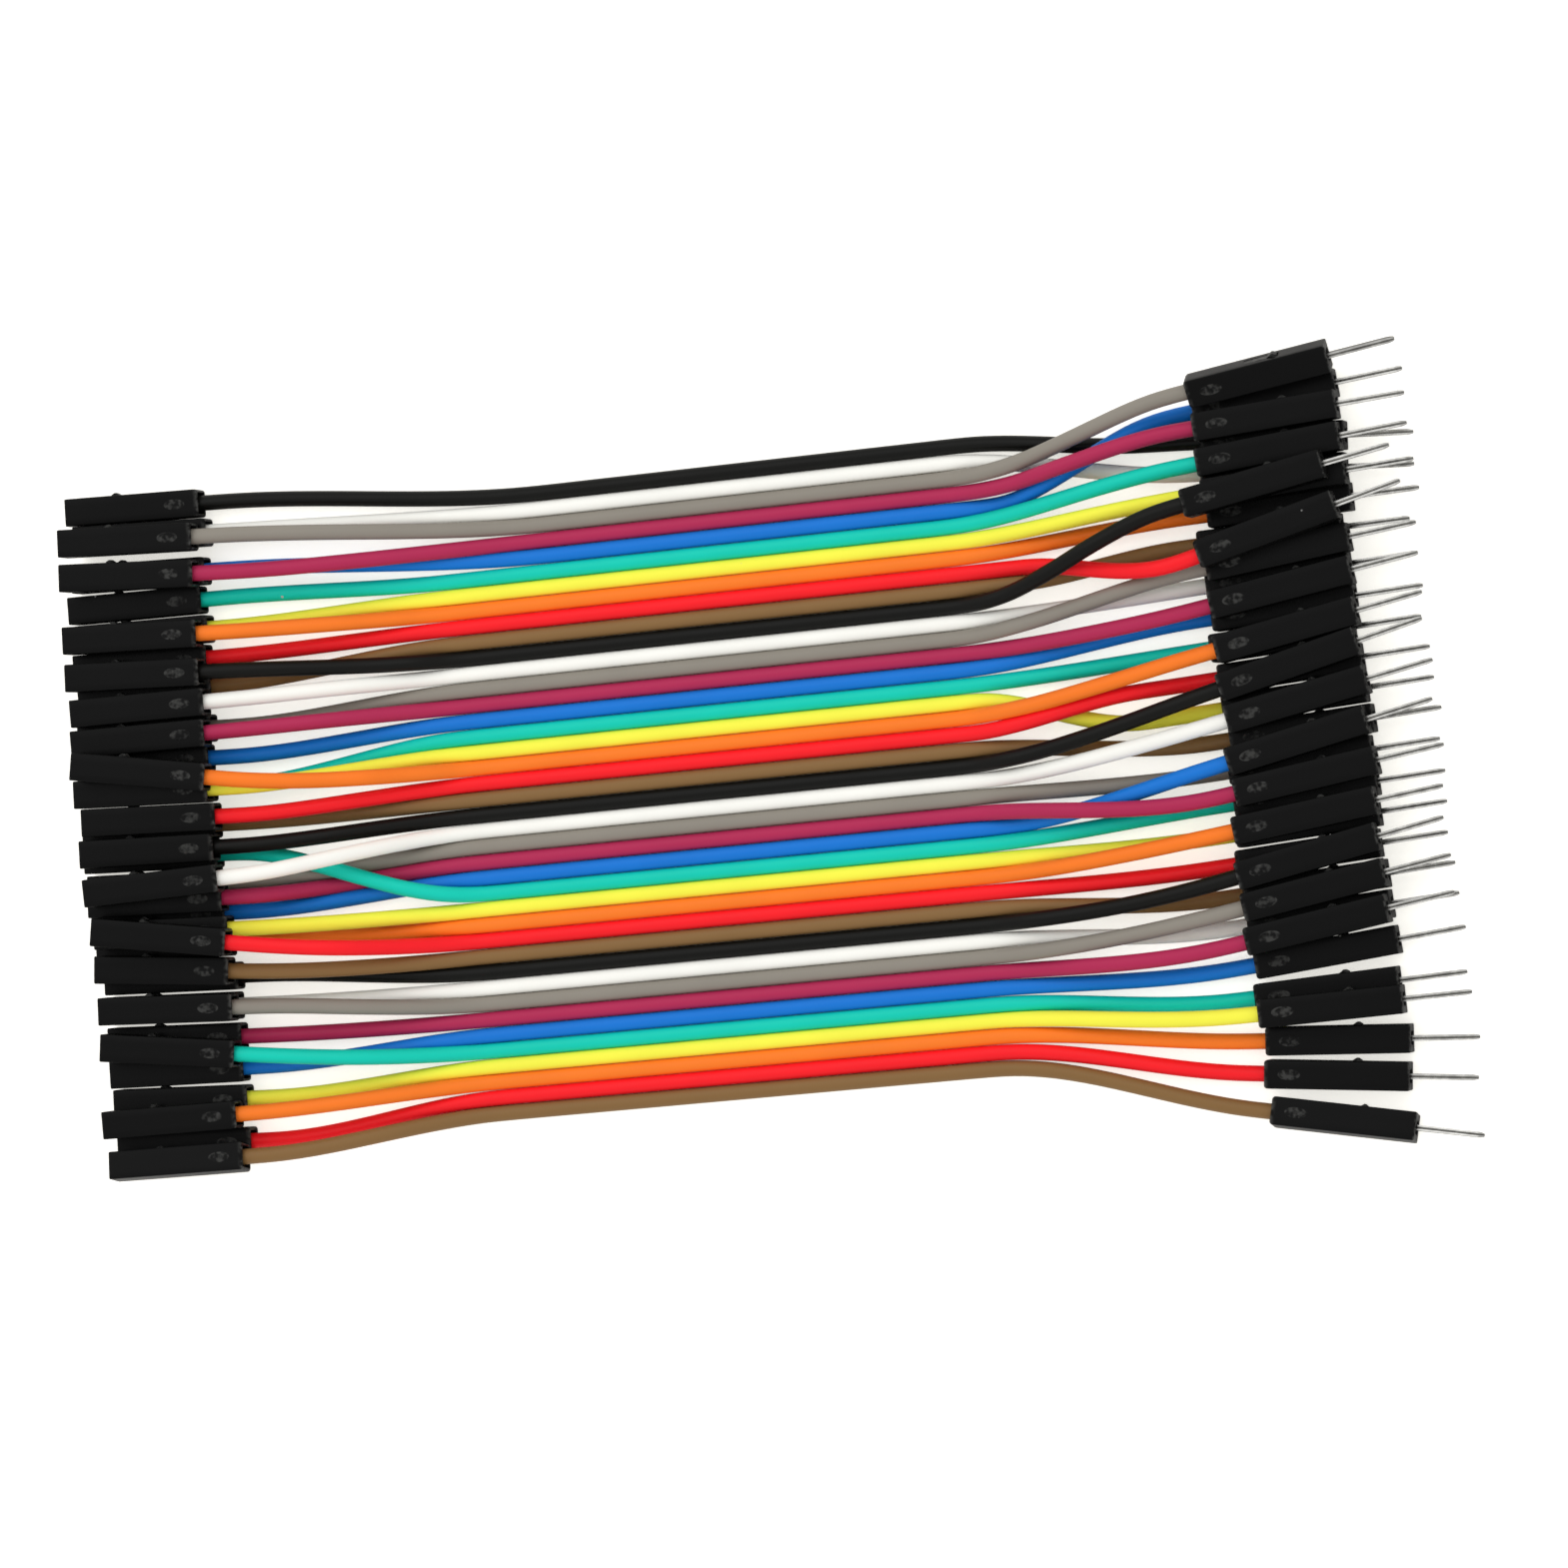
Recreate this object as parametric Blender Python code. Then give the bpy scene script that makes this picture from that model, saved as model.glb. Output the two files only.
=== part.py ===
"""Forty-way ribbon of breadboard jumper wires, female sockets on the left, male pins on the right.

The ribbon runs along +X and lies flat on z = 0. Its forty insulated wires are bonded side by side in
the middle and split towards both ends, where each wire has a one-way black housing. The housings lie
in up to three layers. Thirty-five jumpers are one solid each, wire and both connectors together, and
the last five are taken apart into wire, housings and terminals.
"""

import math

import bmesh
import bpy
from mathutils import Matrix, Vector

MM = 0.001

# Wire and ribbon
WIRE_DIAMETER = 1.40 * MM
BOND_GAP = 0.03 * MM
LANE_PITCH = WIRE_DIAMETER + BOND_GAP
WIRE_LEAD = 1.6 * MM
FLOOR_CLEARANCE = 0.04 * MM
CROSSING_GAP = 0.15 * MM

# Housing, the same moulding at both ends
HOUSING_WIDTH = 2.54 * MM
HOUSING_LENGTH = 12.90 * MM
HOUSING_GAP = 0.06 * MM
LAYER_GAP = 0.04 * MM
FRONT_WALL = 0.60 * MM
FRONT_OPENING = 1.00 * MM
CHANNEL_WIDTH = 1.90 * MM
RECESS_DEPTH = 1.20 * MM
WINDOW_START = 4.20 * MM
WINDOW_LENGTH = 3.20 * MM
WINDOW_WIDTH = 1.20 * MM
WINDOW_DEPTH = 0.45 * MM

# Terminals
TERMINAL_CLEARANCE = 0.06 * MM
SOCKET_BORE = 0.90 * MM
SOCKET_LENGTH = 6.40 * MM
NECK_WIDTH = 0.90 * MM
CRIMP_LENGTH = 1.80 * MM
CRIMP_CLEARANCE = 0.05 * MM
WIRE_INSERTION = 3.00 * MM
PIN_WIDTH = 0.50 * MM
PIN_LENGTH = 6.00 * MM
PIN_TAPER = 0.70 * MM
PIN_TIP_SHARE = 0.45
FUSE_OVERLAP = 0.60 * MM

# Where the ends lie: x of the line on which the wires leave each row of housings, and the bonded stretch
FEMALE_LINE = -52.5 * MM
MALE_LINE = 41.0 * MM
FEMALE_SPLIT = -29.0 * MM
MALE_SPLIT = 17.0 * MM
EARLY_SPLIT = -20.0 * MM

# Share of a fan's length over which a wire climbs to its layer, and the stations along a fan
CLIMB_SHARE = 0.70
FAN_STATIONS = (0.15, 0.31, 0.48, 0.65, 0.83)

CURVE_SIDES_SETTING = 2
CUT_MARGIN = 0.20 * MM
WELD_DISTANCE = 0.0001 * MM

COLOURS = {
    "black": (0.014, 0.014, 0.012),
    "white": (0.90, 0.88, 0.84),
    "grey": (0.28, 0.26, 0.23),
    "purple": (0.47, 0.034, 0.107),
    "blue": (0.019, 0.18, 0.70),
    "green": (0.016, 0.62, 0.47),
    "yellow": (0.95, 0.90, 0.070),
    "orange": (0.95, 0.195, 0.034),
    "red": (0.90, 0.023, 0.032),
    "brown": (0.26, 0.15, 0.069),
}
COLOUR_ORDER = tuple(COLOURS)
HOUSING_COLOUR = (0.010, 0.010, 0.010)
TERMINAL_COLOUR = (0.62, 0.62, 0.60)

# One row for each jumper, from the first lane down. Each end is
# (slot along the row of housings, set-back in mm, layer, yaw in degrees, lean in degrees).
# A slot is one housing width and its gap; slot 0 is on the ribbon's middle.
ENDS = (
    ((11.70, 0.4, 0, -1.9, 0), (9.91, 0.2, 0, -3.5, 0)),
    ((10.65, 0.9, 0, -2.3, 0), (8.83, 0.0, 0, -3.5, 0)),
    ((10.48, 0.3, 1, -2.9, 0), (11.58, -0.1, 1, 7.9, 21)),
    ((9.19, 0.1, 1, -3.7, 0), (10.33, 0.1, 1, 3.3, 0)),
    ((9.30, 0.4, 0, -2.0, 0), (10.95, -0.2, 0, 5.5, 0)),
    ((8.30, -0.2, 0, -0.9, 0), (9.12, 0.1, 1, 4.8, 0)),
    ((7.25, 0.2, 0, -1.0, 0), (8.07, 0.35, 1, 3.4, 0)),
    ((7.07, -0.1, 1, -2.6, 0), (7.42, 0.2, 0, 1.2, 0)),
    ((6.22, -0.2, 0, -1.0, 0), (5.97, -0.1, 2, 14.2, 0)),
    ((5.20, 0.0, 0, 0.5, 0), (6.39, -0.9, 0, 1.4, 0)),
    ((5.71, -0.2, 1, -3.0, 0), (7.74, -1.05, 2, 9.9, 0)),
    ((4.65, 0.0, 1, -0.5, 0), (5.00, -0.5, 0, 2.9, 0)),
    ((3.75, -0.4, 0, -2.6, 0), (5.58, 0.1, 1, 6.2, 0)),
    ((3.56, -0.2, 1, -0.5, 0), (4.28, 0.1, 1, 8.4, 0)),
    ((2.70, -0.9, 0, -2.6, 0), (3.90, -0.3, 0, 2.9, 0)),
    ((1.65, -0.9, 0, -2.6, 0), (2.85, -0.7, 0, 3.0, 0)),
    ((1.60, -0.4, 1, -2.7, 0), (0.75, -0.1, 0, 3.1, 0)),
    ((1.96, 0.3, 2, -10.0, 0), (2.76, 0.2, 1, 9.9, 0)),
    ((0.59, 0.1, 1, -2.7, 0), (1.80, -0.2, 0, 3.1, 0)),
    ((0.35, -0.8, 0, -2.6, 0), (-0.30, 0.3, 0, 3.2, 0)),
    ((-0.48, -0.37, 1, -2.2, 0), (1.45, 0.2, 1, 13.3, 0)),
    ((-1.59, 0.6, 2, 1.1, 0), (0.36, 0.6, 1, 10.6, 0)),
    ((-1.75, -0.8, 0, -2.5, 0), (-1.35, -0.1, 0, 3.2, 0)),
    ((-2.27, 0.0, 1, -2.5, 0), (-2.13, 0.7, 1, 7.6, 0)),
    ((-2.80, -0.7, 0, -2.5, 0), (-1.07, 0.3, 1, 11.6, 0)),
    ((-0.70, -0.9, 0, -2.6, 0), (-2.45, 0.1, 0, 3.3, 0)),
    ((-3.40, 0.3, 1, -2.4, 0), (-3.50, 0.0, 0, 3.4, 0)),
    ((-3.85, -0.5, 0, -2.5, 0), (-3.41, 0.25, 1, 6.8, 0)),
    ((-3.87, 0.8, 2, -9.5, 0), (-4.55, -0.2, 0, 3.4, 0)),
    ((-4.87, 0.0, 1, -5.7, 0), (-5.60, 0.2, 0, 3.5, 0)),
    ((-5.05, 0.0, 0, -2.6, 0), (-4.95, 0.2, 1, 10.6, 0)),
    ((-6.10, -0.3, 0, -2.7, 0), (-6.65, 0.3, 0, 3.6, 0)),
    ((-6.14, 0.03, 1, -3.2, 0), (-6.03, 0.45, 1, 9.0, 0)),
    ((-7.20, -0.2, 0, -2.8, 0), (-7.18, 0.4, 1, 8.2, 0)),
    ((-8.30, -0.3, 0, -1.9, 0), (-8.00, 0.6, 0, 5.1, 0)),
    ((-7.79, -0.2, 1, -7.6, 0), (-9.12, 0.3, 0, 2.0, 0)),
    ((-9.40, -0.2, 0, -2.8, 0), (-9.64, 0.9, 1, 0.8, 0)),
    ((-9.90, -0.55, 1, -0.3, 0), (-10.60, 0.9, 0, -3.9, 0)),
    ((-10.90, -0.2, 0, -2.6, 0), (-11.70, 0.5, 0, -6.0, 0)),
    ((-11.41, -0.2, 1, -0.6, -9), (-13.00, 0.8, 0, -11.2, -10)),
)

# Crossings: how many wires lie below a wire at an x, in mm, between its split and its housing
FEMALE_LIFTS = {
    11: ((-33.5, 1.0),),
    18: ((-33.5, 1.3), (-38.5, 2.8)),
    24: ((-41.0, 0.3),),
    26: ((-32.5, 0.9), (-36.0, 1.3), (-41.5, 1.35)),
}
MALE_LIFTS = {
    1: ((34.0, 0.0),),
    2: ((34.0, 0.0),),
    3: ((22.5, 1.1), (31.0, 1.6)),
    4: ((24.0, 1.1), (28.0, 2.2)),
    5: ((22.0, 0.0), (27.5, 1.05), (34.5, 1.05)),
    9: ((23.0, 0.05), (28.0, 1.4)),
    11: ((22.0, 1.0), (27.0, 2.2), (31.0, 3.1)),
    13: ((24.0, 1.1),),
    18: ((22.0, 1.3), (30.0, 2.0)),
    19: ((22.0, 1.1), (31.0, 1.25)),
    21: ((22.0, 1.1), (29.0, 1.7)),
    24: ((21.5, 1.0), (26.5, 2.0)),
    25: ((21.5, 0.0), (27.5, 0.9), (32.0, 1.5)),
    31: ((24.0, 1.2),),
    33: ((24.0, 1.2),),
}

# Sideways swings at the pin end that start late or end early, as shares of the fan
MALE_SWINGS = {
    1: (0.10, 0.80),
    3: (0.12, 1.00),
    4: (0.15, 1.00),
    5: (0.20, 1.00),
    9: (0.30, 1.00),
    10: (0.30, 1.00),
    11: (0.08, 1.00),
    17: (0.05, 0.75),
    19: (0.05, 0.75),
    25: (0.10, 0.95),
}
WHOLE_FAN = (0.0, 1.0)

# Jumpers that leave the ribbon early at the socket end, and jumpers built in their own pieces
EARLY_JUMPERS = (1, 2, 3, 4, 5)
SEPARATE_JUMPERS = (36, 37, 38, 39, 40)


def smooth(share):
    """Ease from 0 to 1 with no slope at either end."""
    share = min(max(share, 0.0), 1.0)
    return share * share * (3.0 - 2.0 * share)


def colour_of(number):
    """Colour name of a jumper; the ten colours repeat from the first lane down."""
    return COLOUR_ORDER[(number - 1) % len(COLOUR_ORDER)]


def lane_y(number):
    """Distance of a wire's lane from the ribbon's middle."""
    return ((len(ENDS) + 1) / 2 - number) * LANE_PITCH


def resting_height(lean):
    """Height of a housing's middle above what it lies on, when it leans about its length."""
    angle = math.radians(abs(lean))
    return HOUSING_WIDTH / 2 * (math.cos(angle) + math.sin(angle))


def end_place(number, male):
    """Matrix of one end: origin where the wire leaves the housing, +X along the leaving wire."""
    slot, set_back, layer, yaw, lean = ENDS[number - 1][1 if male else 0]
    line = MALE_LINE if male else FEMALE_LINE
    height = layer * (HOUSING_WIDTH + LAYER_GAP) + resting_height(lean)
    place = Vector((line + set_back * MM, slot * (HOUSING_WIDTH + HOUSING_GAP), height))
    turn = math.radians(yaw + (180.0 if male else 0.0))
    lean_turn = math.radians(-lean if male else lean)
    return Matrix.Translation(place) @ Matrix.Rotation(turn, 4, "Z") @ Matrix.Rotation(lean_turn, 4, "X")


def split_place(number, male):
    """Distance along the ribbon at which a wire leaves its neighbours."""
    if male:
        return MALE_SPLIT
    return EARLY_SPLIT if number in EARLY_JUMPERS else FEMALE_SPLIT


def wire_height(level):
    """Height of a wire's middle with the given number of wires below it."""
    return FLOOR_CLEARANCE + WIRE_DIAMETER / 2 + level * (WIRE_DIAMETER + CROSSING_GAP)


def swing_y(share, swing, lane, end, slope):
    """Sideways place along a fan: flat, then a cubic with no slope at first, then the housing's line."""
    start, stop = swing
    if share <= start:
        return lane
    if share >= stop:
        return end - slope * (1.0 - share)
    part = (share - start) / (stop - start)
    target = end - slope * (1.0 - stop)
    return lane + (target - lane) * smooth(part) + slope * (stop - start) * part * part * (part - 1.0)


def fan_points(number, male):
    """Points of one fan, from the split to the end of the straight lead at the housing."""
    place = end_place(number, male)
    lead = place @ Vector((WIRE_LEAD, 0.0, 0.0))
    direction = place.to_3x3() @ Vector((1.0, 0.0, 0.0))
    split_x = split_place(number, male)
    length = lead.x - split_x
    slope = direction.y / direction.x * length
    swing = MALE_SWINGS.get(number, WHOLE_FAN) if male else WHOLE_FAN
    lifts = (MALE_LIFTS if male else FEMALE_LIFTS).get(number, ())
    knots = [(0.0, wire_height(0))]
    knots += [((x * MM - split_x) / length, wire_height(level)) for x, level in lifts]
    knots.append((1.0 if lifts else CLIMB_SHARE, lead.z))
    points = []
    for share in FAN_STATIONS:
        y = swing_y(share, swing, lane_y(number), lead.y, slope)
        z = lead.z
        for (start, low), (stop, high) in zip(knots, knots[1:]):
            if start <= share <= stop:
                z = low + (high - low) * smooth((share - start) / (stop - start))
        points.append(Vector((split_x + length * share, y, z)))
    points.append(lead)
    return points


def wire_route(number, insertion):
    """Centreline of a wire, from inside its female housing to inside its male housing."""
    ends = []
    for male in (False, True):
        place = end_place(number, male)
        inner = place @ Vector((-insertion, 0.0, 0.0))
        split = Vector((split_place(number, male), lane_y(number), wire_height(0)))
        ends.append([split] + fan_points(number, male) + [inner])
    return ends[0][::-1] + ends[1]


def new_material(name, colour, roughness, metallic=0.0):
    """Material with a Principled BSDF of one colour."""
    material = bpy.data.materials.new(name)
    material.use_nodes = True
    shader = material.node_tree.nodes["Principled BSDF"]
    shader.inputs["Base Color"].default_value = (*colour, 1.0)
    shader.inputs["Roughness"].default_value = roughness
    shader.inputs["Metallic"].default_value = metallic
    return material


def new_object(name, mesh, collection, place=None):
    """Object of a mesh in a collection, at a place."""
    thing = bpy.data.objects.new(name, mesh)
    collection.objects.link(thing)
    if place is not None:
        thing.matrix_world = place
    return thing


def hide_guide(thing):
    """Mark a cutter or a joining piece as a guide that isn't part of the model."""
    thing.hide_render = True
    thing.display_type = "WIRE"


def bar_mesh(name, start, stop, width, height=None, middle=(0.0, 0.0), tip_length=0.0):
    """Bar along X from start to stop; a tip length tapers its end at the start."""
    height = width if height is None else height
    mesh = bpy.data.meshes.new(name)
    shape = bmesh.new()
    bmesh.ops.create_cube(shape, size=1.0)
    bmesh.ops.scale(shape, vec=(stop - start, width, height), verts=shape.verts)
    offset = ((start + stop) / 2, middle[0], middle[1])
    bmesh.ops.translate(shape, vec=offset, verts=shape.verts)
    if tip_length:
        plane = Vector((start + tip_length, 0.0, 0.0))
        faces = shape.verts[:] + shape.edges[:] + shape.faces[:]
        bmesh.ops.bisect_plane(shape, geom=faces, plane_co=plane, plane_no=(1.0, 0.0, 0.0))
        tip = [vertex for vertex in shape.verts if vertex.co.x < start + tip_length / 2]
        bmesh.ops.scale(shape, vec=(1.0, PIN_TIP_SHARE, PIN_TIP_SHARE), verts=tip)
    shape.to_mesh(mesh)
    shape.free()
    return mesh


def combine(name, base, steps, guides):
    """Mesh of a base after its steps of (operation, mesh), in order."""
    body = new_object(name + "_base", base, guides)
    for index, (operation, mesh) in enumerate(steps):
        guide = new_object(f"{name}_step_{index}", mesh, guides)
        cut = body.modifiers.new(guide.name, "BOOLEAN")
        cut.operation = operation
        cut.object = guide
    bpy.context.view_layer.update()
    evaluated = body.evaluated_get(bpy.context.evaluated_depsgraph_get())
    mesh = bpy.data.meshes.new_from_object(evaluated)
    mesh.name = name
    for index in range(len(steps)):
        bpy.data.objects.remove(bpy.data.objects[f"{name}_step_{index}"])
    bpy.data.objects.remove(body)
    return mesh


def window_cutter(name, side, depth):
    """Cutter of the latch window in the housing's side wall; side is +1 or -1 along Y."""
    stop = -HOUSING_LENGTH + WINDOW_START + WINDOW_LENGTH
    middle = side * (HOUSING_WIDTH / 2 + CUT_MARGIN - (depth + CUT_MARGIN) / 2)
    return bar_mesh(name, stop - WINDOW_LENGTH, stop, depth + CUT_MARGIN, WINDOW_WIDTH, (middle, 0.0))


def solid_housing(name, side, male, guides):
    """Housing and terminal as one solid, with its wire recess and its socket or pin."""
    base = bar_mesh(name + "_body", -HOUSING_LENGTH, 0.0, HOUSING_WIDTH)
    recess = bar_mesh(name + "_recess", -RECESS_DEPTH, CUT_MARGIN, CHANNEL_WIDTH)
    mouth_depth = FRONT_WALL if male else FRONT_WALL + SOCKET_LENGTH
    mouth_start = -HOUSING_LENGTH - CUT_MARGIN
    mouth = bar_mesh(name + "_mouth", mouth_start, -HOUSING_LENGTH + mouth_depth, FRONT_OPENING)
    steps = [("DIFFERENCE", recess), ("DIFFERENCE", mouth)]
    steps.append(("DIFFERENCE", window_cutter(name + "_window", side, WINDOW_DEPTH)))
    if male:
        root = -HOUSING_LENGTH + FRONT_WALL + FUSE_OVERLAP
        tip = -HOUSING_LENGTH - PIN_LENGTH
        pin = bar_mesh(name + "_pin", tip, root, PIN_WIDTH, tip_length=PIN_TAPER)
        steps.append(("UNION", pin))
    return combine(name, base, steps, guides)


def shell_housing(name, side, guides):
    """Housing as a hollow moulding: channel, front opening and latch window."""
    base = bar_mesh(name + "_body", -HOUSING_LENGTH, 0.0, HOUSING_WIDTH)
    channel = bar_mesh(name + "_channel", -HOUSING_LENGTH + FRONT_WALL, CUT_MARGIN, CHANNEL_WIDTH)
    mouth_start = -HOUSING_LENGTH - CUT_MARGIN
    mouth_stop = -HOUSING_LENGTH + FRONT_WALL + CUT_MARGIN
    mouth = bar_mesh(name + "_mouth", mouth_start, mouth_stop, FRONT_OPENING)
    wall = (HOUSING_WIDTH - CHANNEL_WIDTH) / 2
    window = window_cutter(name + "_window", side, wall + CUT_MARGIN)
    steps = [("DIFFERENCE", channel), ("DIFFERENCE", mouth), ("DIFFERENCE", window)]
    return combine(name, base, steps, guides)


def terminal(name, male, guides):
    """Crimp terminal: crimp round the wire's insulation, neck, and socket box or pin."""
    width = CHANNEL_WIDTH - 2 * TERMINAL_CLEARANCE
    front = -HOUSING_LENGTH + FRONT_WALL + TERMINAL_CLEARANCE
    box_stop = front + SOCKET_LENGTH
    crimp_start = -WIRE_INSERTION - FUSE_OVERLAP
    base = bar_mesh(name + "_box", front, box_stop, width)
    crimp = bar_mesh(name + "_crimp", crimp_start, crimp_start + FUSE_OVERLAP + CRIMP_LENGTH, width)
    neck = bar_mesh(name + "_neck", box_stop - FUSE_OVERLAP, crimp_start + FUSE_OVERLAP / 2, NECK_WIDTH)
    seat_start = -WIRE_INSERTION - CRIMP_CLEARANCE
    seat = bar_mesh(name + "_seat", seat_start, CUT_MARGIN, WIRE_DIAMETER + 2 * CRIMP_CLEARANCE)
    steps = [("UNION", crimp), ("UNION", neck), ("DIFFERENCE", seat)]
    if male:
        root = front + FUSE_OVERLAP
        tip = -HOUSING_LENGTH - PIN_LENGTH
        pin = bar_mesh(name + "_pin", tip, root, PIN_WIDTH, tip_length=PIN_TAPER)
        steps.append(("UNION", pin))
    else:
        bore_stop = box_stop - FUSE_OVERLAP * 2
        bore = bar_mesh(name + "_bore", front - CUT_MARGIN, bore_stop, SOCKET_BORE)
        steps.append(("DIFFERENCE", bore))
    return combine(name, base, steps, guides)


def wire_curve(name, points, collection):
    """Round wire along its points, with closed ends."""
    curve = bpy.data.curves.new(name, "CURVE")
    curve.dimensions = "3D"
    curve.bevel_depth = WIRE_DIAMETER / 2
    curve.bevel_resolution = round(CURVE_SIDES_SETTING)
    curve.use_fill_caps = True
    spline = curve.splines.new("POLY")
    spline.points.add(len(points) - 1)
    for slot, point in zip(spline.points, points):
        slot.co = (*point, 1.0)
    return new_object(name, curve, collection)


def curve_as_mesh(thing):
    """Replace a curve object's wire by a mesh with welded caps, and give the mesh back."""
    evaluated = thing.evaluated_get(bpy.context.evaluated_depsgraph_get())
    mesh = bpy.data.meshes.new_from_object(evaluated)
    mesh.transform(thing.matrix_world)
    shape = bmesh.new()
    shape.from_mesh(mesh)
    bmesh.ops.remove_doubles(shape, verts=shape.verts, dist=WELD_DISTANCE)
    shape.to_mesh(mesh)
    shape.free()
    bpy.data.objects.remove(thing)
    return mesh


def joined_jumper(number, female_mesh, male_mesh, parts, guides):
    """One jumper as one solid: its wire joined to both connectors."""
    name = f"jumper_{number:02d}_{colour_of(number)}"
    wire = wire_curve(name + "_wire", wire_route(number, RECESS_DEPTH + FUSE_OVERLAP), guides)
    bpy.context.view_layer.update()
    body = new_object(name, curve_as_mesh(wire), parts)
    for male, mesh in ((False, female_mesh), (True, male_mesh)):
        end = "male" if male else "female"
        guide = new_object(f"{name}_{end}", mesh, guides, end_place(number, male))
        hide_guide(guide)
        join = body.modifiers.new(end, "BOOLEAN")
        join.operation = "UNION"
        join.object = guide
    return body


def separate_jumper(number, meshes, parts):
    """One jumper as five pieces: wire, two housings and two terminals."""
    colour = colour_of(number)
    wire = wire_curve(f"wire_{number}_{colour}", wire_route(number, WIRE_INSERTION), parts)
    pieces = {wire: colour}
    for kind, male, slot in (
        ("female_housing", False, "housing"),
        ("female_terminal", False, "terminal"),
        ("male_housing", True, "housing"),
        ("male_terminal", True, "terminal"),
    ):
        piece = new_object(f"{kind}_{number}", meshes[kind], parts, end_place(number, male))
        pieces[piece] = slot
    return pieces


def dress(thing, colour, roughness, metallic=0.0):
    """Give an object its own material."""
    thing.data = thing.data.copy()
    thing.data.materials.clear()
    thing.data.materials.append(new_material(thing.name, colour, roughness, metallic))


def centre_on_origin(parts, guides):
    """Move everything so that the origin is at the middle of the underside of the box round it."""
    bpy.context.view_layer.update()
    graph = bpy.context.evaluated_depsgraph_get()
    corners = []
    for thing in parts.objects:
        evaluated = thing.evaluated_get(graph)
        mesh = evaluated.to_mesh()
        corners += [evaluated.matrix_world @ vertex.co for vertex in mesh.vertices]
        evaluated.to_mesh_clear()
    low = [min(corner[axis] for corner in corners) for axis in range(3)]
    high = [max(corner[axis] for corner in corners) for axis in range(3)]
    shift = Matrix.Translation((-(low[0] + high[0]) / 2, -(low[1] + high[1]) / 2, -low[2]))
    for thing in list(parts.objects) + list(guides.objects):
        thing.matrix_world = shift @ thing.matrix_world


def main():
    """Build the ribbon."""
    for thing in list(bpy.data.objects):
        bpy.data.objects.remove(thing)
    parts = bpy.data.collections.new("breadboard_jumper_ribbon")
    guides = bpy.data.collections.new("guides")
    for collection in (parts, guides):
        bpy.context.scene.collection.children.link(collection)

    female_mesh = solid_housing("female_end", 1, False, guides)
    male_mesh = solid_housing("male_end", -1, True, guides)
    for number in range(1, len(ENDS) + 1):
        if number not in SEPARATE_JUMPERS:
            body = joined_jumper(number, female_mesh, male_mesh, parts, guides)
            dress(body, COLOURS[colour_of(number)], 0.45)

    meshes = {
        "female_housing": shell_housing("female_housing", 1, guides),
        "male_housing": shell_housing("male_housing", -1, guides),
        "female_terminal": terminal("female_terminal", False, guides),
        "male_terminal": terminal("male_terminal", True, guides),
    }
    for number in SEPARATE_JUMPERS:
        for piece, slot in separate_jumper(number, meshes, parts).items():
            if slot == "housing":
                dress(piece, HOUSING_COLOUR, 0.40)
            elif slot == "terminal":
                dress(piece, TERMINAL_COLOUR, 0.30, 1.0)
            else:
                dress(piece, COLOURS[slot], 0.45)

    centre_on_origin(parts, guides)


main()
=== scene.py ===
"""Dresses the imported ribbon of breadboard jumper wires: insulation, housings, sockets and pins.

The ribbon runs along +X. Its forty wires lie side by side in the middle and fan out to black
one-way housings in up to three layers. The layout below repeats the construction's own lists
and rules.
"""

import logging
import math
from dataclasses import dataclass, field
from enum import Enum

import bpy
import numpy as np
from mathutils import Matrix, Vector


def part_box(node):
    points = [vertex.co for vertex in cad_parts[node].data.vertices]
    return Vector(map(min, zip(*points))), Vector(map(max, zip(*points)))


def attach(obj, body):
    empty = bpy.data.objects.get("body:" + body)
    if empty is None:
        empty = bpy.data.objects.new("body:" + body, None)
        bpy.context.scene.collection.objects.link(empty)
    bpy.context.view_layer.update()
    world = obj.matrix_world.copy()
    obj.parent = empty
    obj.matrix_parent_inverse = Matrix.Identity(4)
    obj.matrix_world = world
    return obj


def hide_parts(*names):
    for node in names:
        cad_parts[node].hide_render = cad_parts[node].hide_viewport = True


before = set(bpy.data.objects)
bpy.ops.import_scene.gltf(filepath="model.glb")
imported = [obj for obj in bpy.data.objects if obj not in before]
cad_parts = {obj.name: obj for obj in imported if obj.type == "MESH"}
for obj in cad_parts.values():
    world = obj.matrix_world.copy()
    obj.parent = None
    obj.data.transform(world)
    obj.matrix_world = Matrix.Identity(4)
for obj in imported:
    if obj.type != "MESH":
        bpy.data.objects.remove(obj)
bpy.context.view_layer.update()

LOG = logging.getLogger("jumper_ribbon")
MM = 0.001
HOUSING_LENGTH = 12.9 * MM
HOUSING_WIDTH = 2.54 * MM


class Insulation(Enum):
    """Colours of the wires in their order down the ribbon, as sRGB values from 0 to 255."""

    BLACK = (16, 16, 14)
    WHITE = (255, 254, 247)
    GREY = (145, 139, 129)
    PURPLE = (181, 45, 87)
    BLUE = (25, 121, 216)
    GREEN = (17, 208, 185)
    YELLOW = (255, 251, 77)
    ORANGE = (255, 128, 40)
    RED = (255, 32, 41)
    BROWN = (137, 104, 64)

    @property
    def label(self) -> str:
        """Plain name of the colour."""
        return self.name.lower()


class Connector(Enum):
    """The two kinds of end."""

    SOCKET = "female"
    PIN = "male"


def linear(colour: tuple[float, ...]) -> tuple[float, float, float, float]:
    """Linear colour of an sRGB colour.

    Args:
        colour: red, green and blue from 0 to 255.

    Returns:
        Red, green, blue and an alpha of 1, from 0 to 1.
    """
    shares = np.asarray(colour, float) / 255.0
    low = shares / 12.92
    high = ((shares + 0.055) / 1.055) ** 2.4
    red, green, blue = np.where(shares <= 0.04045, low, high)
    return float(red), float(green), float(blue), 1.0


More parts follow.
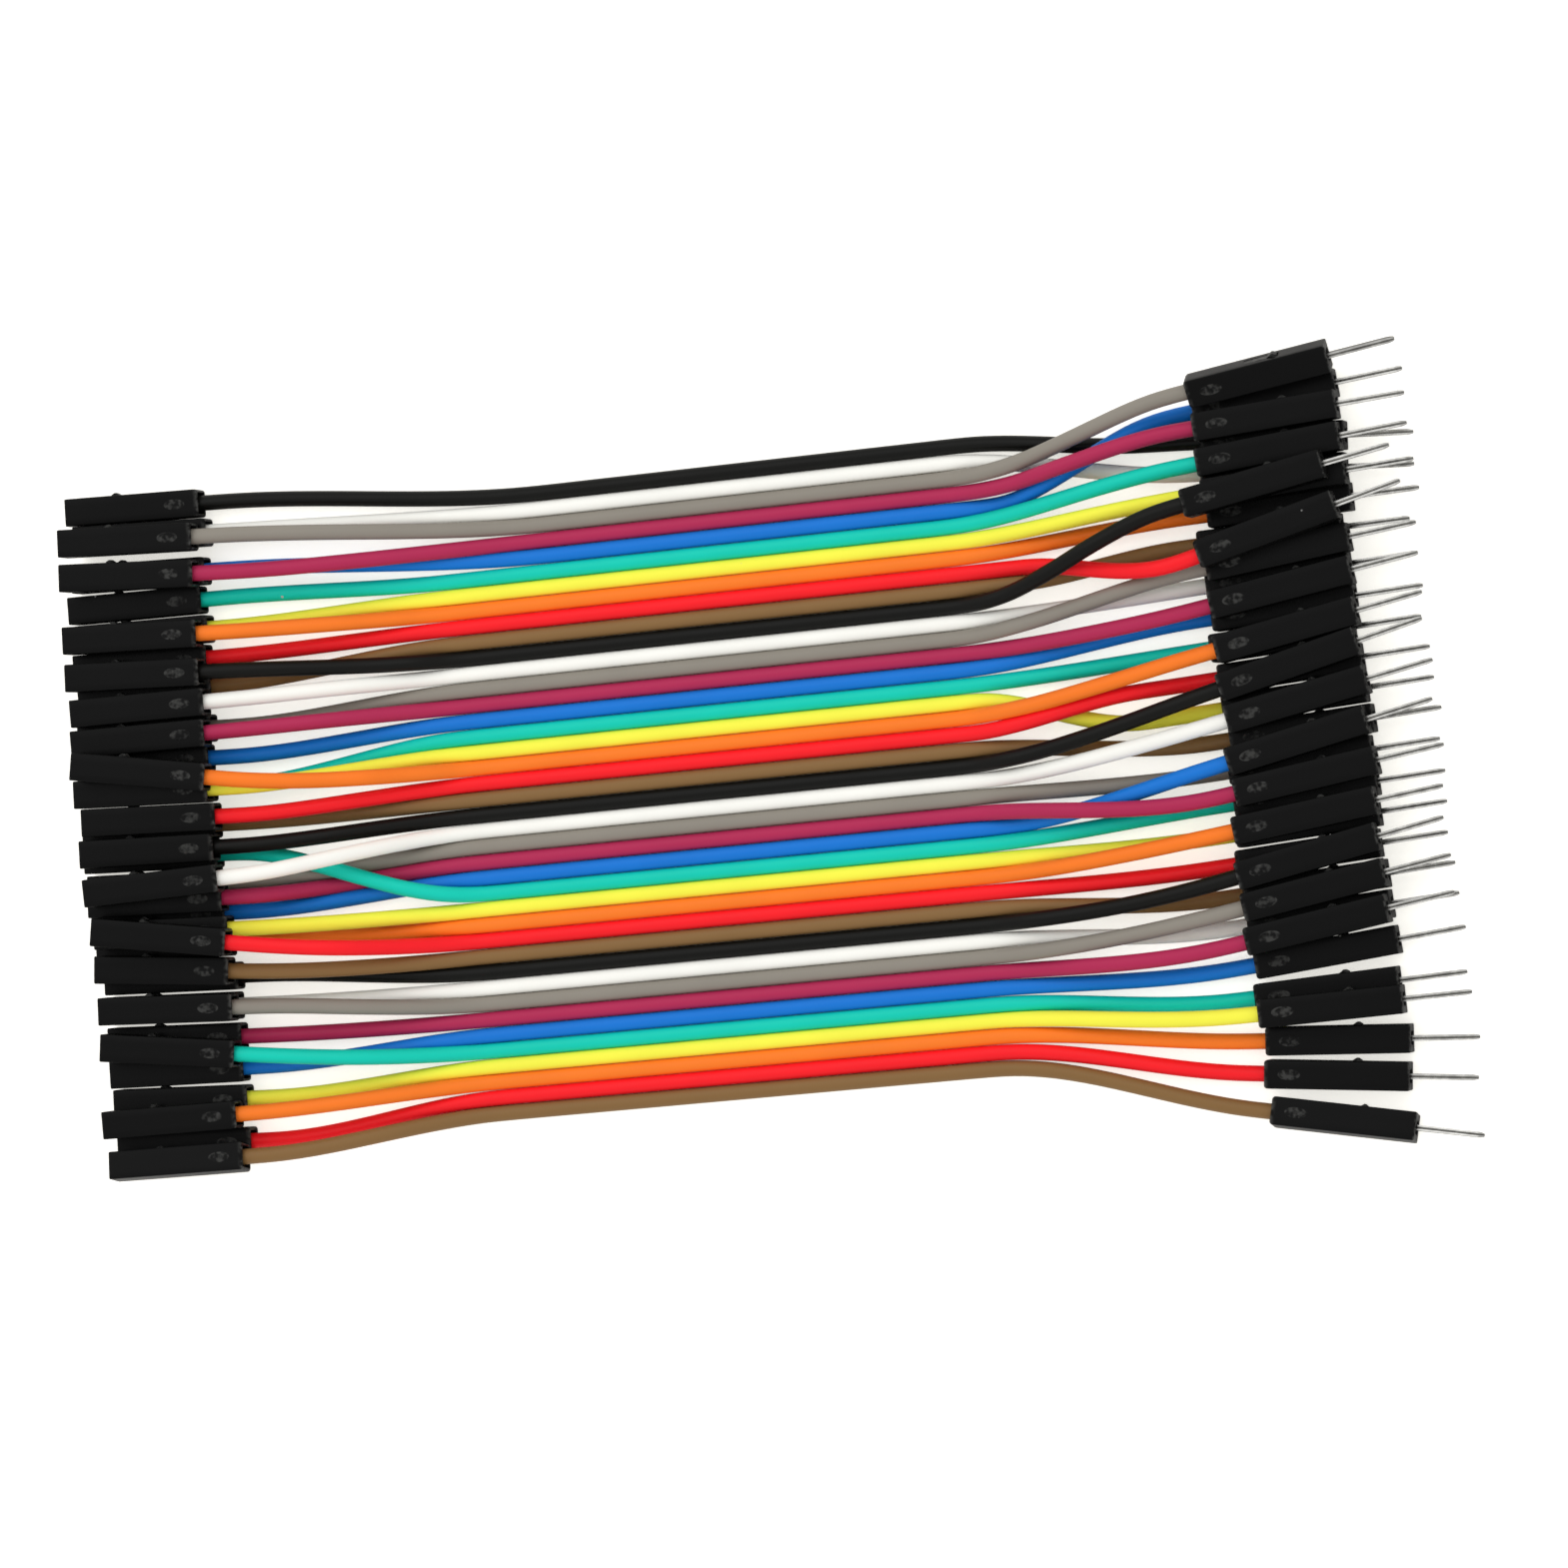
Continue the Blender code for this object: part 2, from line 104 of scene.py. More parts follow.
@dataclass(frozen=True)
class EndPlace:
    """Where one housing lies, in the construction's own terms."""

    slot: float
    set_back: float
    layer: int
    yaw: float
    lean: float


ENDS: tuple[tuple[tuple[float, ...], tuple[float, ...]], ...] = (
    ((11.70, 0.4, 0, -1.9, 0), (9.91, 0.2, 0, -3.5, 0)),
    ((10.65, 0.9, 0, -2.3, 0), (8.83, 0.0, 0, -3.5, 0)),
    ((10.48, 0.3, 1, -2.9, 0), (11.58, -0.1, 1, 7.9, 21)),
    ((9.19, 0.1, 1, -3.7, 0), (10.33, 0.1, 1, 3.3, 0)),
    ((9.30, 0.4, 0, -2.0, 0), (10.95, -0.2, 0, 5.5, 0)),
    ((8.30, -0.2, 0, -0.9, 0), (9.12, 0.1, 1, 4.8, 0)),
    ((7.25, 0.2, 0, -1.0, 0), (8.07, 0.35, 1, 3.4, 0)),
    ((7.07, -0.1, 1, -2.6, 0), (7.42, 0.2, 0, 1.2, 0)),
    ((6.22, -0.2, 0, -1.0, 0), (5.97, -0.1, 2, 14.2, 0)),
    ((5.20, 0.0, 0, 0.5, 0), (6.39, -0.9, 0, 1.4, 0)),
    ((5.71, -0.2, 1, -3.0, 0), (7.74, -1.05, 2, 9.9, 0)),
    ((4.65, 0.0, 1, -0.5, 0), (5.00, -0.5, 0, 2.9, 0)),
    ((3.75, -0.4, 0, -2.6, 0), (5.58, 0.1, 1, 6.2, 0)),
    ((3.56, -0.2, 1, -0.5, 0), (4.28, 0.1, 1, 8.4, 0)),
    ((2.70, -0.9, 0, -2.6, 0), (3.90, -0.3, 0, 2.9, 0)),
    ((1.65, -0.9, 0, -2.6, 0), (2.85, -0.7, 0, 3.0, 0)),
    ((1.60, -0.4, 1, -2.7, 0), (0.75, -0.1, 0, 3.1, 0)),
    ((1.96, 0.3, 2, -10.0, 0), (2.76, 0.2, 1, 9.9, 0)),
    ((0.59, 0.1, 1, -2.7, 0), (1.80, -0.2, 0, 3.1, 0)),
    ((0.35, -0.8, 0, -2.6, 0), (-0.30, 0.3, 0, 3.2, 0)),
    ((-0.48, -0.37, 1, -2.2, 0), (1.45, 0.2, 1, 13.3, 0)),
    ((-1.59, 0.6, 2, 1.1, 0), (0.36, 0.6, 1, 10.6, 0)),
    ((-1.75, -0.8, 0, -2.5, 0), (-1.35, -0.1, 0, 3.2, 0)),
    ((-2.27, 0.0, 1, -2.5, 0), (-2.13, 0.7, 1, 7.6, 0)),
    ((-2.80, -0.7, 0, -2.5, 0), (-1.07, 0.3, 1, 11.6, 0)),
    ((-0.70, -0.9, 0, -2.6, 0), (-2.45, 0.1, 0, 3.3, 0)),
    ((-3.40, 0.3, 1, -2.4, 0), (-3.50, 0.0, 0, 3.4, 0)),
    ((-3.85, -0.5, 0, -2.5, 0), (-3.41, 0.25, 1, 6.8, 0)),
    ((-3.87, 0.8, 2, -9.5, 0), (-4.55, -0.2, 0, 3.4, 0)),
    ((-4.87, 0.0, 1, -5.7, 0), (-5.60, 0.2, 0, 3.5, 0)),
    ((-5.05, 0.0, 0, -2.6, 0), (-4.95, 0.2, 1, 10.6, 0)),
    ((-6.10, -0.3, 0, -2.7, 0), (-6.65, 0.3, 0, 3.6, 0)),
    ((-6.14, 0.03, 1, -3.2, 0), (-6.03, 0.45, 1, 9.0, 0)),
    ((-7.20, -0.2, 0, -2.8, 0), (-7.18, 0.4, 1, 8.2, 0)),
    ((-8.30, -0.3, 0, -1.9, 0), (-8.00, 0.6, 0, 5.1, 0)),
    ((-7.79, -0.2, 1, -7.6, 0), (-9.12, 0.3, 0, 2.0, 0)),
    ((-9.40, -0.2, 0, -2.8, 0), (-9.64, 0.9, 1, 0.8, 0)),
    ((-9.90, -0.55, 1, -0.3, 0), (-10.60, 0.9, 0, -3.9, 0)),
    ((-10.90, -0.2, 0, -2.6, 0), (-11.70, 0.5, 0, -6.0, 0)),
    ((-11.41, -0.2, 1, -0.6, -9), (-13.00, 0.8, 0, -11.2, -10)),
)

FEMALE_LIFTS: dict[int, tuple[tuple[float, float], ...]] = {
    11: ((-33.5, 1.0),),
    18: ((-33.5, 1.3), (-38.5, 2.8)),
    24: ((-41.0, 0.3),),
    26: ((-32.5, 0.9), (-36.0, 1.3), (-41.5, 1.35)),
}
MALE_LIFTS: dict[int, tuple[tuple[float, float], ...]] = {
    1: ((34.0, 0.0),),
    2: ((34.0, 0.0),),
    3: ((22.5, 1.1), (31.0, 1.6)),
    4: ((24.0, 1.1), (28.0, 2.2)),
    5: ((22.0, 0.0), (27.5, 1.05), (34.5, 1.05)),
    9: ((23.0, 0.05), (28.0, 1.4)),
    11: ((22.0, 1.0), (27.0, 2.2), (31.0, 3.1)),
    13: ((24.0, 1.1),),
    18: ((22.0, 1.3), (30.0, 2.0)),
    19: ((22.0, 1.1), (31.0, 1.25)),
    21: ((22.0, 1.1), (29.0, 1.7)),
    24: ((21.5, 1.0), (26.5, 2.0)),
    25: ((21.5, 0.0), (27.5, 0.9), (32.0, 1.5)),
    31: ((24.0, 1.2),),
    33: ((24.0, 1.2),),
}
MALE_SWINGS: dict[int, tuple[float, float]] = {
    1: (0.10, 0.80),
    3: (0.12, 1.00),
    4: (0.15, 1.00),
    5: (0.20, 1.00),
    9: (0.30, 1.00),
    10: (0.30, 1.00),
    11: (0.08, 1.00),
    17: (0.05, 0.75),
    19: (0.05, 0.75),
    25: (0.10, 0.95),
}


def smooth(share: np.ndarray) -> np.ndarray:
    """Ease from 0 to 1 with no slope at either end: 3 t squared less 2 t cubed.

    Args:
        share: places from 0 to 1.

    Returns:
        Eased values of the same shape.
    """
    share = np.clip(share, 0.0, 1.0)
    return share * share * (3.0 - 2.0 * share)


@dataclass
class RibbonLayout:
    """Sizes and places shared by every wire and housing."""

    wire_diameter: float = 1.40 * MM
    bond_gap: float = 0.03 * MM
    wire_lead: float = 1.6 * MM
    floor_clearance: float = 0.04 * MM
    crossing_gap: float = 0.15 * MM
    housing_width: float = HOUSING_WIDTH
    housing_gap: float = 0.06 * MM
    layer_gap: float = 0.04 * MM
    housing_length: float = HOUSING_LENGTH
    female_line: float = -52.5 * MM
    male_line: float = 41.0 * MM
    female_split: float = -29.0 * MM
    male_split: float = 17.0 * MM
    early_split: float = -20.0 * MM
    last_early: int = 5
    climb_share: float = 0.70
    fan_steps: int = 26
    bonded_steps: int = 24
    lead_steps: int = 4
    known_node: str = "female_housing_39"
    known_number: int = 39
    shift: np.ndarray = field(default_factory=lambda: np.zeros(3))

    def find_shift(self) -> None:
        """Read from one housing how far the construction's middle lies from the layout's zero."""
        low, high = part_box(self.known_node)
        middle = (np.array(low) + np.array(high)) / 2
        place = self.end_matrix(self.known_number, Connector.SOCKET)
        expected = place @ np.array([-self.housing_length / 2, 0.0, 0.0, 1.0])
        self.shift = middle - expected[:3]

    def lane(self, number: int) -> float:
        """Distance of a wire's lane from the ribbon's middle."""
        pitch = self.wire_diameter + self.bond_gap
        return ((len(ENDS) + 1) / 2 - number) * pitch

    def split(self, number: int, kind: Connector) -> float:
        """Distance along the ribbon at which a wire leaves its neighbours; a few leave early."""
        if kind is Connector.PIN:
            return self.male_split
        return self.early_split if number <= self.last_early else self.female_split

    def level_height(self, level: np.ndarray | float) -> np.ndarray | float:
        """Height of a wire's middle with that many wires below it."""
        step = self.wire_diameter + self.crossing_gap
        return self.floor_clearance + self.wire_diameter / 2 + level * step

    def end_matrix(self, number: int, kind: Connector) -> np.ndarray:
        """Place of one end: its origin is where the wire leaves, and +X runs along that wire.

        Args:
            number: the jumper, from 1 at the top.
            kind: which of its two ends.

        Returns:
            A 4 by 4 matrix.
        """
        male = kind is Connector.PIN
        end = EndPlace(*ENDS[number - 1][1 if male else 0])
        angle = math.radians(abs(end.lean))
        rest = self.housing_width / 2 * (math.cos(angle) + math.sin(angle))
        height = end.layer * (self.housing_width + self.layer_gap) + rest
        line = self.male_line if male else self.female_line
        across = end.slot * (self.housing_width + self.housing_gap)
        place = Vector((line + end.set_back * MM, across, height))
        turn = Matrix.Rotation(math.radians(end.yaw + (180.0 if male else 0.0)), 4, "Z")
        lean = Matrix.Rotation(math.radians(-end.lean if male else end.lean), 4, "X")
        matrix = np.array(Matrix.Translation(place) @ turn @ lean)
        matrix[:3, 3] += self.shift
        return matrix

    def fan(self, number: int, kind: Connector) -> np.ndarray:
        """Centreline of one fan, from the split to the end of the straight lead at the housing.

        Args:
            number: the jumper.
            kind: which of its two ends.

        Returns:
            Points in metres, one row each.
        """
        male = kind is Connector.PIN
        matrix = self.end_matrix(number, kind)
        lead = matrix[:3, 3] + matrix[:3, 0] * self.wire_lead - self.shift
        split = self.split(number, kind)
        length = lead[0] - split
        slope = matrix[1, 0] / matrix[0, 0] * length
        start, stop = MALE_SWINGS.get(number, (0.0, 1.0)) if male else (0.0, 1.0)
        lifts = (MALE_LIFTS if male else FEMALE_LIFTS).get(number, ())
        share = np.linspace(0.0, 1.0, self.fan_steps)
        part = np.clip((share - start) / (stop - start), 0.0, 1.0)
        target = lead[1] - slope * (1.0 - stop)
        y = self.lane(number) + (target - self.lane(number)) * smooth(part)
        y += slope * (stop - start) * part * part * (part - 1.0)
        y = np.where(share >= stop, lead[1] - slope * (1.0 - share), y)
        shares = [0.0] + [(x * MM - split) / length for x, _ in lifts]
        heights = [self.level_height(0.0)] + [self.level_height(level) for _, level in lifts]
        shares.append(1.0 if lifts else self.climb_share)
        heights.append(lead[2])
        z = np.full(share.shape, lead[2])
        for index in range(len(shares) - 1):
            inside = (share >= shares[index]) & (share <= shares[index + 1])
            across = (share - shares[index]) / (shares[index + 1] - shares[index])
            rise = heights[index + 1] - heights[index]
            z = np.where(inside, heights[index] + rise * smooth(across), z)
        return np.column_stack([split + length * share, y, z]) + self.shift

    def route(self, number: int, insertion: float) -> np.ndarray:
        """Centreline of a wire, from inside its socket housing to inside its pin housing.

        Args:
            number: the jumper.
            insertion: how far the wire goes into each housing.

        Returns:
            Points in metres, one row each.
        """
        steps = np.linspace(-insertion, self.wire_lead, self.lead_steps + 1)[:-1, None]
        parts = []
        for kind in Connector:
            matrix = self.end_matrix(number, kind)
            inner = matrix[:3, 3] + steps * matrix[:3, 0]
            parts.append(np.vstack([inner, self.fan(number, kind)[::-1]]))
        first, last = parts[0], parts[1][::-1]
        across = np.linspace(0.0, 1.0, self.bonded_steps + 1)[1:-1, None]
        bonded = first[-1] + (last[0] - first[-1]) * across
        return self.relaxed(np.vstack([first, bonded, last]))

    @staticmethod
    def relaxed(points: np.ndarray) -> np.ndarray:
        """Points eased towards the mean of their neighbours twice, with both ends held."""
        for _ in range(2):
            points[1:-1] = points[1:-1] / 2 + (points[:-2] + points[2:]) / 4
        return points


def path_length(points: np.ndarray) -> float:
    """Length along a row of points."""
    return float(np.linalg.norm(np.diff(points, axis=0), axis=1).sum())


def grid_faces(rows: int, columns: int, closed_rows: bool) -> np.ndarray:
    """Quads of a grid whose columns close on themselves.

    Args:
        rows: rings of the grid.
        columns: points of a ring.
        closed_rows: whether the last ring joins the first.

    Returns:
        Four vertex numbers a face.
    """
    row = np.arange(rows if closed_rows else rows - 1)[:, None]
    column = np.arange(columns)[None, :]
    next_row, next_column = (row + 1) % rows, (column + 1) % columns
    corners = [
        row * columns + column,
        row * columns + next_column,
        next_row * columns + next_column,
        next_row * columns + column,
    ]
    return np.stack(np.broadcast_arrays(*corners), axis=-1)


class MeshParts:
    """Collects closed surfaces and turns them into one piece."""

    def __init__(self) -> None:
        """Start with nothing."""
        self.points: list[np.ndarray] = []
        self.faces: list[list[int]] = []
        self.wear_and_highlight: list[np.ndarray] = []
        self.count = 0

    def add(
        self, points: np.ndarray, faces: np.ndarray | list, wear_and_highlight: np.ndarray | float = 0.0
    ) -> None:
        """Add a surface.

        Args:
            points: vertices, one row each.
            faces: vertex numbers of each face.
            wear_and_highlight: how rubbed each vertex is, and how much painted edge highlight it
                gets, from 0 to 1.
        """
        rows = faces
        if isinstance(faces, np.ndarray):
            rows = faces.reshape(-1, faces.shape[-1]).tolist()
        self.faces += [[vertex + self.count for vertex in row] for row in rows]
        self.points.append(points.reshape(-1, 3))
        self.wear_and_highlight.append(np.broadcast_to(wear_and_highlight, (len(self.points[-1]),)))
        self.count += len(self.points[-1])

    def add_tube(self, rings: np.ndarray, wear_and_highlight: float = 0.0) -> None:
        """Add rings of points as a surface with flat closed ends.

        Args:
            rings: points by ring and place in the ring.
            wear_and_highlight: how rubbed the surface is, and how much painted edge highlight it
                gets.
        """
        rows, columns = rings.shape[:2]
        faces = grid_faces(rows, columns, closed_rows=False).reshape(-1, 4).tolist()
        faces.append(list(range(columns))[::-1])
        faces.append([(rows - 1) * columns + column for column in range(columns)])
        self.add(rings, faces, wear_and_highlight)

    def finish(
        self, name: str, matrix: np.ndarray | None, sharp_degrees: float
    ) -> bpy.types.Object:
        """Make the piece, with its place in its mesh.

        Args:
            name: the piece's name.
            matrix: its place, or None where the points are already placed.
            sharp_degrees: edges that turn more than this stay sharp.

        Returns:
            The new object.
        """
        points = np.vstack(self.points)
        if matrix is not None:
            points = points @ matrix[:3, :3].T + matrix[:3, 3]
        mesh = bpy.data.meshes.new(name)
        mesh.from_pydata(points.tolist(), [], self.faces)
        # Per-vertex share of rubbed spots and painted edge highlight.
        attribute = mesh.attributes.new("wear_and_highlight", "FLOAT", "POINT")
        attribute.data.foreach_set("value", np.concatenate(self.wear_and_highlight).astype(np.float32))
        mesh.shade_smooth()
        mesh.set_sharp_from_angle(angle=math.radians(sharp_degrees))
        mesh.update()
        thing = bpy.data.objects.new(name, mesh)
        bpy.context.scene.collection.objects.link(thing)
        return thing


@dataclass
class SquareSection:
    """Rounded square whose flat sides each have two marked points, as rings along X."""

    arc_steps: int = 4
    marks: float = 0.60 * MM
    mark_share: float = 0.8

    @property
    def columns(self) -> int:
        """Points in a ring."""
        return 4 * self.side_columns

    @property
    def side_columns(self) -> int:
        """Points that belong to one side and the corner after it."""
        return 2 + self.arc_steps

    def rings(self, stations: np.ndarray, middle: tuple[float, float] = (0.0, 0.0)) -> np.ndarray:
        """Rings of the section: each corner is a quarter circle between two flats.

        Args:
            stations: rows of x, half width and corner radius.
            middle: y and z of the section's middle.

        Returns:
            Points by station and place in the ring, anticlockwise from the side that faces +Y.
        """
        x, half, radius = (stations[:, index, None] for index in range(3))
        marks = np.minimum(self.marks, self.mark_share * (half - radius))
        arc = np.linspace(0.0, math.pi / 2, self.arc_steps)[None, :]
        first = np.concatenate([half, half, half - radius + radius * np.cos(arc)], axis=1)
        second = np.concatenate([-marks, marks, half - radius + radius * np.sin(arc)], axis=1)
        y, z = [], []
        for side in range(4):
            cosine, sine = round(math.cos(side * math.pi / 2)), round(math.sin(side * math.pi / 2))
            y.append(cosine * first - sine * second)
            z.append(sine * first + cosine * second)
        y, z = np.concatenate(y, axis=1) + middle[0], np.concatenate(z, axis=1) + middle[1]
        return np.stack([np.broadcast_to(x, y.shape), y, z], axis=-1)


@dataclass
class Housing:
    """One-way housing: a hollow square moulding with a front opening and a latch window."""

    width: float = HOUSING_WIDTH
    length: float = HOUSING_LENGTH
    channel: float = 1.90 * MM
    front_wall: float = 0.60 * MM
    front_opening: float = 1.00 * MM
    lead_in: float = 0.16 * MM
    edge: float = 0.07 * MM
    corner: float = 0.10 * MM
    wire_end_bevel: float = 0.22 * MM
    window_start: float = 4.20 * MM
    window_length: float = 3.20 * MM
    tongue_gap: float = 0.16 * MM
    tongue_root: float = 0.30 * MM
    tongue_sink: float = 0.02 * MM
    tongue_flat: float = 0.3
    tongue_rise: float = 0.30 * MM
    tongue_catch: float = 0.45 * MM
    tongue_profile: tuple[tuple[float, float], ...] = (
        (2.0, 0.06), (1.5, 0.45), (1.0, 1.0), (0.6, 0.95), (0.0, 0.35),
    )
    tongue_wear: float = 0.15
    mark_place: float = 2.25 * MM
    mark_length: float = 2.0 * MM
    mark_width: float = 0.95 * MM
    mark_height: float = 0.020 * MM
    mark_wear: float = 0.13
    mark_steps: int = 28
    mark_profile: tuple[tuple[float, float], ...] = (
        (1.0, -1.5), (1.0, 0.2), (0.90, 1.0), (0.74, 0.4), (0.46, 0.4), (0.34, 0.9),
    )
    skin_window: tuple[int, int] = (4, 5)
    channel_window: tuple[int, int] = (14, 15)
    sharp_degrees: float = 35.0
    section: SquareSection = field(default_factory=SquareSection)

    def stations(self) -> tuple[np.ndarray, np.ndarray]:
        """Rings of the closed wall, out along the skin and back along the channel.

        The shares of the bevel and of the edge round the two ends off. The latch window lies
        between the rings that skin_window and channel_window number.

        Returns:
            Rows of x, half width and corner radius; and each ring's rubbing and painted highlight.
        """
        outer, inner, front = self.width / 2, self.channel / 2, -self.length
        opening = self.front_opening / 2
        window = (front + self.window_start + self.window_length, front + self.window_start)
        # Last column: rubbing and painted highlight; the bevel and rim rings get pale painted edge
        # highlight.
        rows = [
            (0.0, outer - self.wire_end_bevel, self.corner, 0.14),
            (-0.3 * self.wire_end_bevel, outer - 0.5 * self.wire_end_bevel, self.corner, 0.24),
            (-self.wire_end_bevel, outer - 0.2 * self.edge, self.corner, 0.08),
            (-2.0 * self.wire_end_bevel, outer, self.corner, 0.0),
            (window[0], outer, self.corner, 0.0),
            (window[1], outer, self.corner, 0.0),
            (front + 2.5 * self.edge, outer, self.corner, 0.0),
            (front + self.edge, outer - 0.15 * self.edge, self.corner, 0.10),
            (front + 0.3 * self.edge, outer - 0.45 * self.edge, self.corner, 0.24),
            (front, outer - self.edge, self.corner, 0.08),
            (front, opening + self.lead_in, self.corner, 0.0),
            (front + self.lead_in, opening, 0.5 * self.corner, 0.0),
            (front + self.front_wall, opening, 0.5 * self.corner, 0.0),
            (front + self.front_wall, inner, self.corner, 0.0),
            (window[1], inner, self.corner, 0.0),
            (window[0], inner, self.corner, 0.0),
            (-self.wire_end_bevel, inner, self.corner, 0.0),
            (0.0, inner + 0.3 * self.wire_end_bevel, self.corner, 0.25),
        ]
        table = np.array(rows)
        return table[:, :3], table[:, 3]

    def wall(self, parts: MeshParts, window_side: int) -> None:
        """Add the wall, leaving the latch window open and lining its edges.

        Args:
            parts: collects the surface.
            window_side: the side that holds the window, 0 for +Y and 2 for -Y.
        """
        stations, wear_and_highlight = self.stations()
        outer, inner = self.skin_window, self.channel_window
        rings = self.section.rings(stations)
        rows, columns = rings.shape[:2]
        faces = grid_faces(rows, columns, closed_rows=True)
        first = window_side * self.section.side_columns
        keep = np.ones(faces.shape[:2], bool)
        keep[outer[0], first] = False
        keep[inner[0], first] = False
        left, right = first, first + 1
        ring = [
            (outer[0], left, inner[1], left),
            (outer[1], left, inner[0], left),
            (outer[1], right, inner[0], right),
            (outer[0], right, inner[1], right),
        ]
        skin = [row * columns + column for row, column, _, _ in ring]
        lining = [row * columns + column for _, _, row, column in ring]
        around = [
            [skin[index], skin[(index + 1) % 4], lining[(index + 1) % 4], lining[index]]
            for index in range(4)
        ]
        shown = faces[keep].tolist() + [face[::-1] for face in around]
        parts.add(rings, shown, np.repeat(wear_and_highlight, columns))

    def tongue(self, parts: MeshParts, window_side: int) -> None:
        """Add the latch tongue: a strip from the window's wire end that rises to its catch."""
        sign = 1.0 if window_side == 0 else -1.0
        wall = (self.width - self.channel) / 2
        start = -self.length + self.window_start + self.window_length + self.tongue_root
        stop = -self.length + self.window_start + self.tongue_gap
        length = abs(stop - start)
        catch = self.tongue_catch / length
        backs, rises = np.array(self.tongue_profile).T
        share = np.concatenate([[0.0, self.tongue_flat], 1.0 - backs * catch])
        x = start + (stop - start) * share
        rise = self.tongue_rise * np.concatenate([[0.0, 0.0], rises])
        out = self.width / 2 - self.tongue_sink + rise
        low = np.full(share.shape, self.width / 2 - wall)
        half = np.full(share.shape, self.section.marks - self.tongue_gap)
        y = np.stack([low, out, out, low], axis=1) * sign
        z = np.stack([-half, -half, half, half], axis=1) * sign
        rings = np.stack([np.repeat(x[:, None], 4, axis=1), y, z], axis=-1)
        parts.add_tube(rings, self.tongue_wear)

    def mark(self, parts: MeshParts) -> None:
        """Add the plain oval pad on the top face: ellipses that rise to two low rims."""
        around = np.linspace(0.0, 2 * math.pi, self.mark_steps, endpoint=False)[None, :]
        profile = np.array(self.mark_profile)
        size, height = profile[:, :1], profile[:, 1:] * self.mark_height
        x = -self.mark_place + size * self.mark_length / 2 * np.cos(around)
        y = size * self.mark_width / 2 * np.sin(around)
        z = self.width / 2 + np.broadcast_to(height, x.shape)
        parts.add_tube(np.stack([x, y, z], axis=-1), self.mark_wear)

    def build(self, name: str, matrix: np.ndarray, kind: Connector) -> bpy.types.Object:
        """Make one housing at its place.

        Args:
            name: the piece's name.
            matrix: its place.
            kind: which end it is on, which sets the side of its latch.

        Returns:
            The new object.
        """
        parts = MeshParts()
        window_side = 2 if kind is Connector.PIN else 0
        self.wall(parts, window_side)
        self.tongue(parts, window_side)
        self.mark(parts)
        return parts.finish(name, matrix, self.sharp_degrees)


